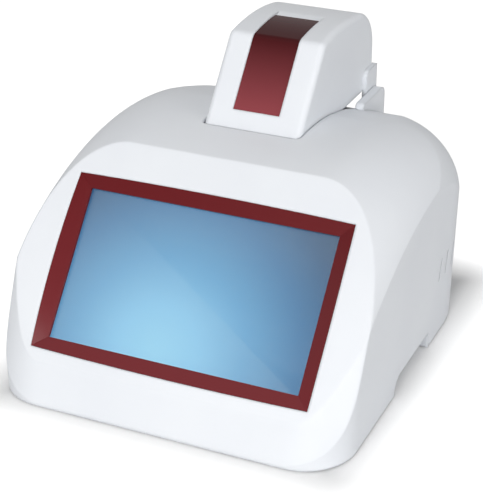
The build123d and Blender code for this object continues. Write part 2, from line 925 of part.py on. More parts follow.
finish(
    turned(
        (pedestal_radius + slide_fit, well_floor), (stage_radius, well_floor),
        (stage_radius, well_floor + stage_height - 0.8), (stage_radius - 0.8, well_floor + stage_height),
        (pedestal_radius + slide_fit, well_floor + stage_height),
    ),
    "stage_disc",
)
ferrule_bore = ferrule_radius + slide_fit
flange_bottom = tray_bottom - pedestal_flange_height
finish(
    turned(
        (ferrule_bore, pedestal_foot), (pedestal_radius, pedestal_foot), (pedestal_radius, flange_bottom),
        (pedestal_flange, flange_bottom), (pedestal_flange, tray_bottom), (pedestal_radius, tray_bottom),
        (pedestal_radius, pedestal_top - pedestal_cone), (pedestal_tip, pedestal_top), (ferrule_bore, pedestal_top),
    ),
    "pedestal",
)
bracket_floor = tray_bottom - bracket_drop + bracket_wall
actuator_top = bracket_floor + actuator_height
finish(
    turned(
        (0, bracket_floor + 8), (ferrule_radius, bracket_floor + 8), (ferrule_radius, pedestal_top), (0, pedestal_top),
    ),
    "path_ferrule",
)
finish(
    turned(
        (ferrule_bore, bracket_floor), (actuator_radius, bracket_floor), (actuator_radius, actuator_top - 1),
        (actuator_radius - 1, actuator_top), (ferrule_bore, actuator_top),
    ),
    "path_actuator",
)

with BuildPart() as bracket:
    with BuildSketch(sample_plane.offset(-bracket_depth / 2)):
        outer = bracket_half + bracket_wall
        with BuildLine():
            Polyline(
                (-bracket_half, tray_bottom), (-outer - bracket_tab, tray_bottom),
                (-outer - bracket_tab, tray_bottom - bracket_wall), (-outer, tray_bottom - bracket_wall),
                (-outer, tray_bottom - bracket_drop), (outer, tray_bottom - bracket_drop),
                (outer, tray_bottom - bracket_wall), (outer + bracket_tab, tray_bottom - bracket_wall),
                (outer + bracket_tab, tray_bottom), (bracket_half, tray_bottom),
                (bracket_half, bracket_floor), (-bracket_half, bracket_floor), close=True,
            )
        make_face()
    extrude(amount=bracket_depth)
    with BuildSketch(Plane.XY.offset(bracket_floor)):
        with Locations((0, sample_y)):
            Circle(fibre_radius)
    extrude(amount=-bracket_wall, mode=Mode.SUBTRACT)
finish(bracket.part, "actuator_bracket")

spectrometer_side = spectrometer_place[0] - spectrometer_place[3] / 2
fibre_level = board_bottom + spectrometer_height / 2
with BuildPart() as lower_fibre:
    with BuildLine() as route:
        FilletPolyline(
            (0, sample_y, bracket_floor), (0, sample_y, fibre_level),
            (spectrometer_side, sample_y, fibre_level), radius=fibre_bend,
        )
    with BuildSketch(Plane(origin=route.line @ 0, z_dir=route.line % 0)):
        Circle(fibre_radius)
    sweep()
finish(lower_fibre.part, "lower_fibre")

finish(block(main_board_place, board_bottom, board_thickness), "main_board")
finish(block(power_board_place, board_bottom, board_thickness), "power_board")
finish(block(spectrometer_place, board_bottom, spectrometer_height, module_edge), "spectrometer_module")
finish(block(lamp_place, board_bottom, lamp_height, module_edge), "flash_lamp_module")

with BuildPart() as ports:
    with BuildSketch(across(port_face)):
        with Locations((0, port_middle)):
            Rectangle(port_opening_width + 2 * port_panel_overlap, port_opening_height + 2 * port_panel_overlap)
        with Locations((switch_across, port_middle)):
            Rectangle(switch_body[0] + 2 * port_fit, switch_body[1] + 2 * port_fit, mode=Mode.SUBTRACT)
        with Locations((jack_across, port_middle)):
            Circle(jack_barrel + port_fit, mode=Mode.SUBTRACT)
        with Locations(*[(x, port_middle) for x in usb_across]):
            Rectangle(usb_width + 2 * port_fit, usb_height + 2 * port_fit, mode=Mode.SUBTRACT)
    extrude(amount=port_panel_thickness)
finish(ports.part, "port_panel")

with BuildPart() as switch:
    with BuildSketch(across(port_face + switch_flange_height)):
        with Locations((switch_across, port_middle)):
            RectangleRounded(switch_body[0] + 2 * switch_flange, switch_body[1] + 2 * switch_flange, 1.0)
    extrude(amount=switch_flange_height)
    with BuildSketch(across(port_face)):
        with Locations((switch_across, port_middle)):
            Rectangle(*switch_body)
    extrude(amount=switch_depth)
    with BuildSketch(across(port_face + switch_flange_height)):
        with Locations((switch_across, port_middle)):
            Rectangle(rocker_width + 2 * rocker_gap, 2 * (rocker_radius + rocker_gap))
    extrude(amount=switch_flange_height + switch_depth - switch_floor, mode=Mode.SUBTRACT)
finish(switch.part, "switch_frame")

swing = radians(rocker_swing)
rocker_plane = Plane(
    origin=(switch_across - rocker_width / 2, front + port_face - rocker_pivot, port_middle),
    x_dir=(0, cos(swing), -sin(swing)),
    z_dir=(1, 0, 0),
)
with BuildPart() as rocker:
    with BuildSketch(rocker_plane):
        flare = rocker_rise + rocker_radius * sin(swing) / cos(swing)
        with BuildLine():
            Polyline(
                (-rocker_root, -rocker_radius), (flare, -rocker_radius), (rocker_rise, 0),
                (flare, rocker_radius), (-rocker_root, rocker_radius), close=True,
            )
        make_face()
        Circle(rocker_radius, mode=Mode.INTERSECT)
    extrude(amount=rocker_width)
finish(rocker.part, "power_rocker")

with BuildPart() as jack:
    with BuildSketch(across(port_face + jack_flange_height)):
        with Locations((jack_across, port_middle)):
            Circle(jack_flange)
    extrude(amount=jack_flange_height)
    with BuildSketch(across(port_face)):
        with Locations((jack_across, port_middle)):
            Circle(jack_barrel)
    extrude(amount=jack_depth)
    with BuildSketch(across(port_face + jack_flange_height)):
        with Locations((jack_across, port_middle)):
            Circle(jack_bore)
    extrude(amount=jack_bore_depth, mode=Mode.SUBTRACT)
finish(jack.part, "dc_jack")

with BuildPart() as usb:
    spots = [(x, port_middle) for x in usb_across]
    with BuildSketch(across(port_face + usb_lip)):
        with Locations(*spots):
            Rectangle(usb_width, usb_height)
    extrude(amount=usb_depth)
    with BuildSketch(across(port_face + usb_lip)):
        with Locations(*spots):
            Rectangle(usb_width - 2 * usb_wall, usb_height - 2 * usb_wall)
    extrude(amount=usb_depth - usb_wall, mode=Mode.SUBTRACT)
    with BuildSketch(across(port_face + usb_lip - usb_depth)):
        with Locations(*spots):
            Rectangle(usb_tongue[0], usb_tongue[1])
    extrude(amount=-usb_tongue[2])
finish(usb.part, "usb_ports")
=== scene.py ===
"""Visual model of a microvolume spectrophotometer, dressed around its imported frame."""

import logging
import math
from dataclasses import dataclass
from enum import Enum

import bmesh
import bpy
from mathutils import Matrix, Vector


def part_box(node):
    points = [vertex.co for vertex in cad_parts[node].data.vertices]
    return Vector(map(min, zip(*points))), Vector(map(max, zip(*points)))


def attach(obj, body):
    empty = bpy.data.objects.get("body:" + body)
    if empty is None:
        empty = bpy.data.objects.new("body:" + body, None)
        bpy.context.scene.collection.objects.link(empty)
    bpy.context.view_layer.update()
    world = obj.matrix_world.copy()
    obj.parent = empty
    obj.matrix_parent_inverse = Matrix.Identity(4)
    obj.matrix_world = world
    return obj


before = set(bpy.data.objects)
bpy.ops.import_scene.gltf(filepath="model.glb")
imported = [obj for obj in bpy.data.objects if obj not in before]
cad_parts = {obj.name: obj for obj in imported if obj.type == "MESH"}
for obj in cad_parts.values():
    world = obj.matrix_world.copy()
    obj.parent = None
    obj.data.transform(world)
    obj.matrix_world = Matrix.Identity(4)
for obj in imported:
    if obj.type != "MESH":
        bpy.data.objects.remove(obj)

LOG = logging.getLogger("spectrophotometer")
MM = 0.001

Triple = tuple[float, float, float]


class Body(Enum):
    """The rigid bodies that added pieces ride on."""

    HOUSING = "housing"


class Side(Enum):
    """The two sides of the instrument, for someone who faces its screen."""

    LEFT = -1
    RIGHT = 1


def to_linear(code: str) -> tuple[float, float, float, float]:
    """Turn an sRGB hex colour into linear red, green, blue and alpha.

    Args:
        code: The colour as "#RRGGBB".

    Returns:
        The linear colour with an alpha of 1.
    """
    parts = [int(code[i:i + 2], 16) / 255 for i in (1, 3, 5)]
    linear = [p / 12.92 if p <= 0.04045 else ((p + 0.055) / 1.055) ** 2.4 for p in parts]
    return (linear[0], linear[1], linear[2], 1.0)


def add_node(
    tree: bpy.types.NodeTree,
    kind: str,
    settings: dict | None = None,
    values: dict | None = None,
    links: dict | None = None,
    stops: tuple[tuple[float, str], ...] = (),
) -> bpy.types.Node:
    """Add a node with its settings, socket values and incoming links.

    Args:
        tree: The node tree that gets the node.
        kind: Blender's name of the node type.
        settings: Properties of the node itself.
        values: Values of its input sockets, by name or number.
        links: Output sockets that feed its input sockets, by name or number.
        stops: Positions and hex colours of a colour ramp, in rising order.

    Returns:
        The new node.
    """
    node = tree.nodes.new(kind)
    for name, value in (settings or {}).items():
        setattr(node, name, value)
    for name, value in (values or {}).items():
        node.inputs[name].default_value = value
    for name, source in (links or {}).items():
        tree.links.new(source, node.inputs[name])
    if stops:
        elements = node.color_ramp.elements
        for element, (position, code) in zip(elements, (stops[0], stops[-1])):
            element.position = position
            element.color = to_linear(code)
        for position, code in stops[1:-1]:
            elements.new(position).color = to_linear(code)
    return node


def start_material(name: str) -> tuple[bpy.types.Material, bpy.types.NodeTree, bpy.types.Node]:
    """Make an empty material with a Principled shader.

    Args:
        name: The material's name.

    Returns:
        The material, its node tree and the shader node.
    """
    material = bpy.data.materials.new(name)
    material.use_nodes = True
    tree = material.node_tree
    tree.nodes.clear()
    shader = add_node(tree, "ShaderNodeBsdfPrincipled")
    add_node(tree, "ShaderNodeOutputMaterial", links={"Surface": shader.outputs[0]})
    return material, tree, shader


@dataclass(frozen=True)
class Finish:
    """A finish of the instrument, under the name of its material."""

    name: str

    def make(self) -> bpy.types.Material:
        """Build the material."""
        raise NotImplementedError

    def material(self) -> bpy.types.Material:
        """Give the material, which is made at its first use."""
        return bpy.data.materials.get(self.name) or self.make()


@dataclass(frozen=True)
class MouldedAbs(Finish):
    """ABS, injection moulded in a spark-eroded mould, as for the hood and the lid.

    The fine eroded grain scatters highlights into a soft satin sheen, and handling polishes it unevenly.
    It is drawn coarser than the real grain, which would not show in the render. Sharp edges come out of the
    mould slightly rounded and catch the light softly.
    """

    colour: str
    shade: str
    roughness: tuple[float, float] = (0.42, 0.5)
    cloud_mm: float = 60.0
    cloud_detail: float = 3.0
    cloud_span: tuple[float, float] = (0.3, 0.7)
    grain_mm: float = 0.5
    grain_detail: float = 2.0
    relief: float = 0.35
    relief_mm: float = 0.012
    edge_mm: float = 2.2
    edge_samples: int = 6
    ior: float = 1.5

    def make(self) -> bpy.types.Material:
        """Build the material.

        Returns:
            The material, with soft clouds of colour and sheen under a fine grain.
        """
        material, tree, shader = start_material(self.name)
        place = add_node(tree, "ShaderNodeTexCoord").outputs["Object"]
        cloud = add_node(
            tree, "ShaderNodeTexNoise",
            values={"Scale": 1 / (self.cloud_mm * MM), "Detail": self.cloud_detail},
            links={"Vector": place},
        )
        grain = add_node(
            tree, "ShaderNodeTexNoise",
            values={"Scale": 1 / (self.grain_mm * MM), "Detail": self.grain_detail},
            links={"Vector": place},
        )
        colour = add_node(
            tree, "ShaderNodeValToRGB", links={"Fac": cloud.outputs[0]},
            stops=((self.cloud_span[0], self.shade), (self.cloud_span[1], self.colour)),
        )
        tree.links.new(colour.outputs["Color"], shader.inputs["Base Color"])
        rough = add_node(
            tree, "ShaderNodeMapRange", values={"To Min": self.roughness[0], "To Max": self.roughness[1]},
            links={"Value": cloud.outputs[0]},
        )
        tree.links.new(rough.outputs[0], shader.inputs["Roughness"])
        edge = add_node(
            tree, "ShaderNodeBevel", {"samples": self.edge_samples}, {"Radius": self.edge_mm * MM}
        )
        bump = add_node(
            tree, "ShaderNodeBump", values={"Strength": self.relief, "Distance": self.relief_mm * MM},
            links={"Height": grain.outputs[0], "Normal": edge.outputs[0]},
        )
        tree.links.new(bump.outputs[0], shader.inputs["Normal"])
        shader.inputs["IOR"].default_value = self.ior
        return material


@dataclass(frozen=True)
class GlossPlastic(Finish):
    """ABS or nylon, moulded in a polished mould and tinted in the mass, as for the red trim.

    It gives clear soft-edged reflections over a deep colour, on which painted shade changes the colour with
    height.
    """

    low: str
    high: str
    shade_rise_mm: tuple[float, float] = (0.0, 180.0)
    roughness: float = 0.24
    specular: float = 0.5
    swirl_mm: float = 25.0
    swirl_detail: float = 4.0
    polish: float = 0.05
    wear: float = 0.06

    def make(self) -> bpy.types.Material:
        """Build the material.

        Returns:
            The material, whose colour changes with height as painted shade and whose sheen has faint swirls.
        """
        material, tree, shader = start_material(self.name)
        place = add_node(tree, "ShaderNodeTexCoord").outputs["Object"]
        # Painted shade: the colour changes with height, from the low colour to the high colour.
        height = add_node(tree, "ShaderNodeSeparateXYZ", links={0: place})
        rise = add_node(
            tree, "ShaderNodeMapRange",
            values={"From Min": self.shade_rise_mm[0] * MM, "From Max": self.shade_rise_mm[1] * MM},
            links={"Value": height.outputs["Z"]},
        )
        colour = add_node(
            tree, "ShaderNodeValToRGB", links={"Fac": rise.outputs[0]},
            stops=((0.0, self.low), (1.0, self.high)),
        )
        tree.links.new(colour.outputs["Color"], shader.inputs["Base Color"])
        swirl = add_node(
            tree, "ShaderNodeTexNoise",
            values={"Scale": 1 / (self.swirl_mm * MM), "Detail": self.swirl_detail},
            links={"Vector": place},
        )
        rough = add_node(
            tree, "ShaderNodeMapRange",
            values={"To Min": self.roughness - self.polish, "To Max": self.roughness + self.wear},
            links={"Value": swirl.outputs[0]},
        )
        tree.links.new(rough.outputs[0], shader.inputs["Roughness"])
        shader.inputs["Specular IOR Level"].default_value = self.specular
        return material


@dataclass(frozen=True)
class CoverGlass(Finish):
    """Soda-lime glass, floated and hardened, as for a touch screen.

    It is clear, with a slight green-blue body and sharp reflections that finger marks dull a little.
    """

    colour: str = "#F4FAFB"
    film_mm: float = 18.0
    film_detail: float = 5.0
    haze: float = 0.03
    ior: float = 1.45

    def make(self) -> bpy.types.Material:
        """Build the material.

        Returns:
            The material, clear but for a thin film that dulls it in places.
        """
        material, tree, shader = start_material(self.name)
        place = add_node(tree, "ShaderNodeTexCoord").outputs["Object"]
        film = add_node(
            tree, "ShaderNodeTexNoise",
            values={"Scale": 1 / (self.film_mm * MM), "Detail": self.film_detail},
            links={"Vector": place},
        )
        rough = add_node(
            tree, "ShaderNodeMapRange", values={"To Min": 0.0, "To Max": self.haze},
            links={"Value": film.outputs[0]},
        )
        tree.links.new(rough.outputs[0], shader.inputs["Roughness"])
        shader.inputs["Base Color"].default_value = to_linear(self.colour)
        shader.inputs["Transmission Weight"].default_value = 1.0
        shader.inputs["IOR"].default_value = self.ior
        return material


@dataclass(frozen=True)
class LitPanel(Finish):
    """Liquid-crystal display panel, lit from behind.

    The backlight shows through the polariser as a blue glow that is brightest low on the screen and falls
    off to its corners.
    """

    middle_mm: Triple
    reach_mm: float = 126.0
    unlit: str = "#0A0E12"
    roughness: float = 0.4
    glow: tuple[tuple[float, str], ...] = (
        (0.0, "#98D2EE"), (0.2, "#8BC6E8"), (0.42, "#6BA5CD"),
        (0.66, "#4A7CA6"), (0.86, "#2F567B"), (1.0, "#264866"),
    )

    def make(self) -> bpy.types.Material:
        """Build the material.

        Returns:
            The material, which glows by the distance from the middle of its glow.
        """
        material, tree, shader = start_material(self.name)
        place = add_node(tree, "ShaderNodeTexCoord").outputs["Object"]
        away = add_node(
            tree, "ShaderNodeVectorMath", {"operation": "DISTANCE"},
            {1: Vector(self.middle_mm) * MM}, {0: place},
        )
        share = add_node(
            tree, "ShaderNodeMath", {"operation": "DIVIDE"},
            {1: self.reach_mm * MM}, {0: away.outputs["Value"]},
        )
        glow = add_node(tree, "ShaderNodeValToRGB", links={"Fac": share.outputs[0]}, stops=self.glow)
        tree.links.new(glow.outputs["Color"], shader.inputs["Emission Color"])
        shader.inputs["Emission Strength"].default_value = 1.0
        shader.inputs["Base Color"].default_value = to_linear(self.unlit)
        shader.inputs["Roughness"].default_value = self.roughness
        return material


class MetalWork(Enum):
    """How a metal surface was made, with the depth of its marks in millimetres and their detail."""

    TURNED = ("turned", 0.01, 1.0)
    BRUSHED = ("brushed", 0.02, 3.0)
    PLATED = ("plated", 0.01, 2.0)
    CAST = ("cast", 0.08, 4.0)

    @property
    def depth_mm(self) -> float:
        """Give the depth of the marks in millimetres."""
        return self.value[1]

    @property
    def detail(self) -> float:
        """Give the number of finer layers in the marks."""
        return self.value[2]


@dataclass(frozen=True)
class Metal(Finish):
    """A bare or plated metal, with the marks that its making leaves.

    Turning leaves fine rings, brushing leaves straight lines, plating leaves a smooth skin with soft waves,
    and casting leaves a dull grain. The rings and the lines stand for finer ones, which would not show in
    the render. The centre of the rings is in metres.
    """

    colour: str
    work: MetalWork
    roughness: float = 0.25
    centre: Triple = (0.0, 0.0, 0.0)
    ring_mm: float = 3.0
    ring_waver: float = 0.3
    wave_mm: float = 4.0
    grain_mm: float = 0.8
    line_length_mm: float = 25 / 3
    line_pitch_mm: float = 5 / 9
    relief: float = 0.5
    smooth: float = 0.8
    rough: float = 1.25

    def marks(self, tree: bpy.types.NodeTree, place: bpy.types.NodeSocket) -> bpy.types.NodeSocket:
        """Draw the marks of the making.

        Args:
            tree: The node tree.
            place: The socket that gives the place on the piece.

        Returns:
            The socket with the marks as a number.
        """
        if self.work is MetalWork.TURNED:
            local = add_node(
                tree, "ShaderNodeVectorMath", {"operation": "SUBTRACT"}, {1: Vector(self.centre)}, {0: place}
            )
            rings = add_node(
                tree, "ShaderNodeTexWave", {"wave_type": "RINGS", "rings_direction": "Z"},
                {
                    "Scale": 1 / (self.ring_mm * MM), "Distortion": self.ring_waver,
                    "Detail": self.work.detail,
                },
                {"Vector": local.outputs[0]},
            )
            return rings.outputs["Fac"]
        size_mm = {
            MetalWork.BRUSHED: (self.line_length_mm, self.line_pitch_mm, self.line_pitch_mm),
            MetalWork.PLATED: (self.wave_mm, self.wave_mm, self.wave_mm),
            MetalWork.CAST: (self.grain_mm, self.grain_mm, self.grain_mm),
        }[self.work]
        scaled = add_node(
            tree, "ShaderNodeMapping", values={"Scale": tuple(1 / (size * MM) for size in size_mm)},
            links={"Vector": place},
        )
        noise = add_node(
            tree, "ShaderNodeTexNoise", values={"Scale": 1.0, "Detail": self.work.detail},
            links={"Vector": scaled.outputs[0]},
        )
        return noise.outputs[0]

    def make(self) -> bpy.types.Material:
        """Build the material.

        Returns:
            The material, whose marks show in its relief and its sheen.
        """
        material, tree, shader = start_material(self.name)
        marks = self.marks(tree, add_node(tree, "ShaderNodeTexCoord").outputs["Object"])
        rough = add_node(
            tree, "ShaderNodeMapRange",
            values={"To Min": self.roughness * self.smooth, "To Max": self.roughness * self.rough},
            links={"Value": marks},
        )
        tree.links.new(rough.outputs[0], shader.inputs["Roughness"])
        bump = add_node(
            tree, "ShaderNodeBump", values={"Strength": self.relief, "Distance": self.work.depth_mm * MM},
            links={"Height": marks},
        )
        tree.links.new(bump.outputs[0], shader.inputs["Normal"])
        shader.inputs["Base Color"].default_value = to_linear(self.colour)
        shader.inputs["Metallic"].default_value = 1.0
        return material


@dataclass(frozen=True)
class DullPolymer(Finish):
    """A dull rubber, PVC or nylon, moulded in a blasted mould.

    It scatters light widely and shows a faint bloom of dust. Its grain is drawn coarser than the real one,
    which would not show in the render.
    """

    colour: str
    bloom: str
    roughness: float = 0.75
    dust_mm: float = 9.0
    dust_detail: float = 5.0
    dust_span: tuple[float, float] = (0.45, 0.8)
    grain_mm: float = 0.7
    grain_detail: float = 2.0
    relief: float = 0.5
    relief_mm: float = 0.03

    def make(self) -> bpy.types.Material:
        """Build the material.

        Returns:
            The material, with dust over a blasted grain.
        """
        material, tree, shader = start_material(self.name)
        place = add_node(tree, "ShaderNodeTexCoord").outputs["Object"]
        dust = add_node(
            tree, "ShaderNodeTexNoise",
            values={"Scale": 1 / (self.dust_mm * MM), "Detail": self.dust_detail},
            links={"Vector": place},
        )
        grain = add_node(
            tree, "ShaderNodeTexNoise",
            values={"Scale": 1 / (self.grain_mm * MM), "Detail": self.grain_detail},
            links={"Vector": place},
        )
        colour = add_node(
            tree, "ShaderNodeValToRGB", links={"Fac": dust.outputs[0]},
            stops=((self.dust_span[0], self.colour), (self.dust_span[1], self.bloom)),
        )
        tree.links.new(colour.outputs["Color"], shader.inputs["Base Color"])
        bump = add_node(
            tree, "ShaderNodeBump", values={"Strength": self.relief, "Distance": self.relief_mm * MM},
            links={"Height": grain.outputs[0]},
        )
        tree.links.new(bump.outputs[0], shader.inputs["Normal"])
        shader.inputs["Roughness"].default_value = self.roughness
        return material


@dataclass(frozen=True)
class SolderMask(Finish):
    """Glass-epoxy board with green solder mask, printed over etched copper.

    The copper tracks stand up faintly under the mask and look lighter than the bare board. They run round
    fields of half a unit by a quarter of a unit, which is coarse enough to show in the render.
    """

    bare: tuple[str, str] = ("#0F4A28", "#0D4324")
    track: str = "#2C7A48"
    unit_mm: float = 6.4
    track_share: float = 0.06
    stagger: float = 0.37
    relief: float = 0.4
    relief_mm: float = 0.04
    roughness: float = 0.35

    def make(self) -> bpy.types.Material:
        """Build the material.

        Returns:
            The material, with raised tracks between fields of bare board.
        """
        material, tree, shader = start_material(self.name)
        place = add_node(tree, "ShaderNodeTexCoord").outputs["Object"]
        tracks = add_node(
            tree, "ShaderNodeTexBrick", {"offset": self.stagger},
            {
                "Scale": 1 / (self.unit_mm * MM), "Mortar Size": self.track_share, "Mortar Smooth": 0.0,
                "Color1": to_linear(self.bare[0]), "Color2": to_linear(self.bare[1]),
                "Mortar": to_linear(self.track),
            },
            {"Vector": place},
        )
        tree.links.new(tracks.outputs["Color"], shader.inputs["Base Color"])
        bump = add_node(
            tree, "ShaderNodeBump", values={"Strength": self.relief, "Distance": self.relief_mm * MM},
            links={"Height": tracks.outputs["Fac"]},
        )
        tree.links.new(bump.outputs[0], shader.inputs["Normal"])
        shader.inputs["Roughness"].default_value = self.roughness
        return material


def axis_of(node: str) -> Triple:
    """Give the foot of a node's upright axis.

    Args:
        node: The CAD node's name.

    Returns:
        The middle of its box in plan, at the height of the bench, in metres.
    """
    low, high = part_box(node)
    return ((low.x + high.x) / 2, (low.y + high.y) / 2, 0.0)


# Finishes that several sub-assemblies share
WHITE_ABS = MouldedAbs("abs_grey_white", colour="#EDF0F4", shade="#E9ECF1")
GREY_ABS = MouldedAbs("abs_mid_grey", colour="#A9ADB2", shade="#A2A6AB")
ZINC_STEEL = Metal("zinc_plated_steel", "#BFC1C3", MetalWork.PLATED, roughness=0.3)
TURNED_STEEL = Metal(
    "stainless_303_turned", "#C8C8C6", MetalWork.TURNED, roughness=0.16, centre=axis_of("path_ferrule")
)
SHEET_STEEL = Metal("steel_sheet_brushed", "#A8A9AA", MetalWork.BRUSHED, roughness=0.34)
NICKEL = Metal("nickel_plated", "#CBC8BF", MetalWork.PLATED, roughness=0.18)
ANODISED = Metal(
    "aluminium_anodised", "#C4C6C8", MetalWork.TURNED, roughness=0.32, centre=axis_of("path_ferrule")
)
FIBRE_PVC = DullPolymer("pvc_jacket_black", colour="#151515", bloom="#1E1E1F", roughness=0.5)
CIRCUIT_BOARD = SolderMask("solder_mask_green")


def dress(node: str, finish: Finish) -> None:
    """Give a CAD node a finish in every material slot.

    Args:
        node: The CAD node's name.
        finish: The finish for it.
    """
    piece = bpy.data.objects[node]
    material = finish.material()
    if not piece.material_slots:
        piece.data.materials.append(material)
    for slot in piece.material_slots:
        slot.material = material
    LOG.info("dressed %s with %s", node, material.name)


def add_piece(name: str, mesh: bmesh.types.BMesh, finish: Finish, body: Body) -> None:
    """Turn a finished bmesh into a piece that rides on a body.

    Args:
        name: The piece's name.
        mesh: Its geometry, freed here.
        finish: Its finish.
        body: The body that it moves with.
    """
    bmesh.ops.recalc_face_normals(mesh, faces=mesh.faces)
    data = bpy.data.meshes.new(name)
    mesh.to_mesh(data)
    mesh.free()
    data.materials.append(finish.material())
    piece = bpy.data.objects.new(name, data)
    bpy.context.scene.collection.objects.link(piece)
    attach(piece, body.value)
    LOG.info("made %s on %s", name, body.value)


@dataclass
class SubAssembly:
    """A part of the instrument that is built and dressed in one go."""

    def finishes(self) -> dict[str, Finish]:
        """Give the finish of each CAD node."""
        raise NotImplementedError

    def build(self) -> None:
        """Dress every CAD node."""
        for node, finish in self.finishes().items():
            dress(node, finish)


@dataclass
class Housing(SubAssembly):
    """The moulded hood with its base, its feet and black sheets of painted shade behind its vents.

    Distances that are called back are measured from the front of the hood, half its depth from the origin.
    The sheets follow the inside of the side walls, which turn a round corner towards the back.
    """

    depth_mm: float = 254.0
    corner_mm: float = 68.0
    corner_back_mm: float = 186.0
    shade_sheet_half_mm: float = 102.9
    shade_sheet_thickness_mm: float = 0.6
    shade_sheet_back_mm: tuple[float, float] = (160.0, 214.0)
    shade_sheet_height_mm: tuple[float, float] = (37.0, 57.0)
    shade_sheet_steps: int = 24

    def finishes(self) -> dict[str, Finish]:
        """Give the finish of each CAD node."""
        return {
            "upper_housing": WHITE_ABS,
            "base_plate": GREY_ABS,
            "base_screws": ZINC_STEEL,
            "rubber_feet": DullPolymer("rubber_black", colour="#141414", bloom="#222222", roughness=0.8),
        }

    def build(self) -> None:
        """Dress the housing and put black sheets of painted shade behind its vents."""
        super().build()
        # Painted shade: black sheets behind the vents make the slots look dark inside.
        nylon = DullPolymer("nylon_mesh_black", colour="#0B0B0C", bloom="#121213", roughness=0.9)
        for side in Side:
            add_piece(f"vent_mesh_{side.name.lower()}", self.painted_shade_sheet(side), nylon, Body.HOUSING)

    def painted_shade_sheet(self, side: Side) -> bmesh.types.BMesh:
        """Build the curved black sheet of painted shade behind the vents of one side.

        Args:
            side: The side of the instrument.

        Returns:
            The bmesh of a thin sheet that follows the inside of the wall.
        """
        mesh = bmesh.new()
        near, far = self.shade_sheet_back_mm
        bottom, top = self.shade_sheet_height_mm
        sections = []
        for step in range(self.shade_sheet_steps + 1):
            back = near + (far - near) * step / self.shade_sheet_steps
            turn = max(0.0, back - self.corner_back_mm)
            inward = self.corner_mm - math.sqrt(self.corner_mm ** 2 - turn ** 2)
            outer = self.shade_sheet_half_mm - inward
            inner = outer - self.shade_sheet_thickness_mm
            outline = ((outer, bottom), (outer, top), (inner, top), (inner, bottom))
            sections.append([
                mesh.verts.new(Vector((side.value * across, back - self.depth_mm / 2, height)) * MM)
                for across, height in outline
            ])
        for here, there in zip(sections, sections[1:]):
            for i, corner in enumerate(here):
                following = (i + 1) % len(here)
                mesh.faces.new((corner, here[following], there[following], there[i]))
        mesh.faces.new(sections[0])
        mesh.faces.new(sections[-1])
        return mesh


@dataclass
class Display(SubAssembly):
    """The red bezel with the touch glass, the lit panel and what holds them."""

    middle_mm: Triple = (0.0, -79.7, 71.0)
    tilt: float = 50.8
    glow_across_mm: float = -12.0
    glow_up_mm: float = -38.0
    red_shade_rise_mm: tuple[float, float] = (30.0, 112.0)

    def glow_middle(self) -> Triple:
        """Work out the brightest spot of the screen.

        Returns:
            Its place in millimetres, on the plane that leans with the screen.
        """
        tilt = math.radians(self.tilt)
        across, back, height = self.middle_mm
        return (
            across + self.glow_across_mm,
            back + self.glow_up_mm * math.cos(tilt),
            height + self.glow_up_mm * math.sin(tilt),
        )

    def finishes(self) -> dict[str, Finish]:
        """Give the finish of each CAD node."""
        # Painted shade: the bezel is painted darker towards its top.
        red = GlossPlastic(
            "abs_wine_red", low="#74262B", high="#641217", shade_rise_mm=self.red_shade_rise_mm, specular=0.14
        )
        return {
            "display_bezel": red,
            "touch_glass": CoverGlass("soda_lime_glass"),
            "lcd_panel": LitPanel("lit_display_panel", self.glow_middle()),
            "display_cradle": GREY_ABS,
            "driver_board": CIRCUIT_BOARD,
            "display_screws": ZINC_STEEL,
        }


@dataclass
class LidArm(SubAssembly):
    """The lid with its red strip, its cover and its half of the latch."""

    strip_shade_rise_mm: tuple[float, float] = (136.0, 179.0)

    def finishes(self) -> dict[str, Finish]:
        """Give the finish of each CAD node."""
        # Painted shade and painted reflection: the strip's top is painted much darker than its front.
        red = GlossPlastic(
            "abs_wine_red_strip", low="#9A4A50", high="#400D10", shade_rise_mm=self.strip_shade_rise_mm,
            roughness=0.2, specular=0.05,
        )
        return {
            "lid_shell": WHITE_ABS,
            "lid_inlay": red,
            "lid_cover": GREY_ABS,
            "lid_screws": ZINC_STEEL,
            "latch_magnets": NICKEL,
        }


@dataclass
class Hinge(SubAssembly):
    """The pins of the lid and the bushes that turn on them."""

    def finishes(self) -> dict[str, Finish]:
        """Give the finish of each CAD node."""
        return {
            "hinge_pins": TURNED_STEEL,
            "hinge_bushes": Metal("bronze_sintered", "#A8874F", MetalWork.CAST, roughness=0.42),
        }


@dataclass
class MeasuringHead(SubAssembly):
    """The sprung head in the lid, which pulls the droplet up."""

    def finishes(self) -> dict[str, Finish]:
        """Give the finish of each CAD node."""
        return {
            "head_bushing": ANODISED,
            "upper_head": TURNED_STEEL,
            "head_spring": ZINC_STEEL,
            "head_bridge": SHEET_STEEL,
            "upper_fibre": FIBRE_PVC,
        }


@dataclass
class SampleWell(SubAssembly):
    """The tray under the lid, the pedestal for the droplet and the drive below it."""

    def finishes(self) -> dict[str, Finish]:
        """Give the finish of each CAD node."""
        return {
            "well_tray": WHITE_ABS,
            "latch_keepers": NICKEL,
            "stage_disc": ANODISED,
            "pedestal": TURNED_STEEL,
            "path_ferrule": TURNED_STEEL,
            "path_actuator": SHEET_STEEL,
            "actuator_bracket": SHEET_STEEL,
            "lower_fibre": FIBRE_PVC,
        }


@dataclass
class Electronics(SubAssembly):
    """The boards and the two optical modules on the base plate."""

    def finishes(self) -> dict[str, Finish]:
        """Give the finish of each CAD node."""
        cast = Metal("aluminium_die_cast", "#9FA1A3", MetalWork.CAST, roughness=0.5)
        return {
            "main_board": CIRCUIT_BOARD,
            "power_board": CIRCUIT_BOARD,
            "spectrometer_module": cast,
            "flash_lamp_module": cast,
        }


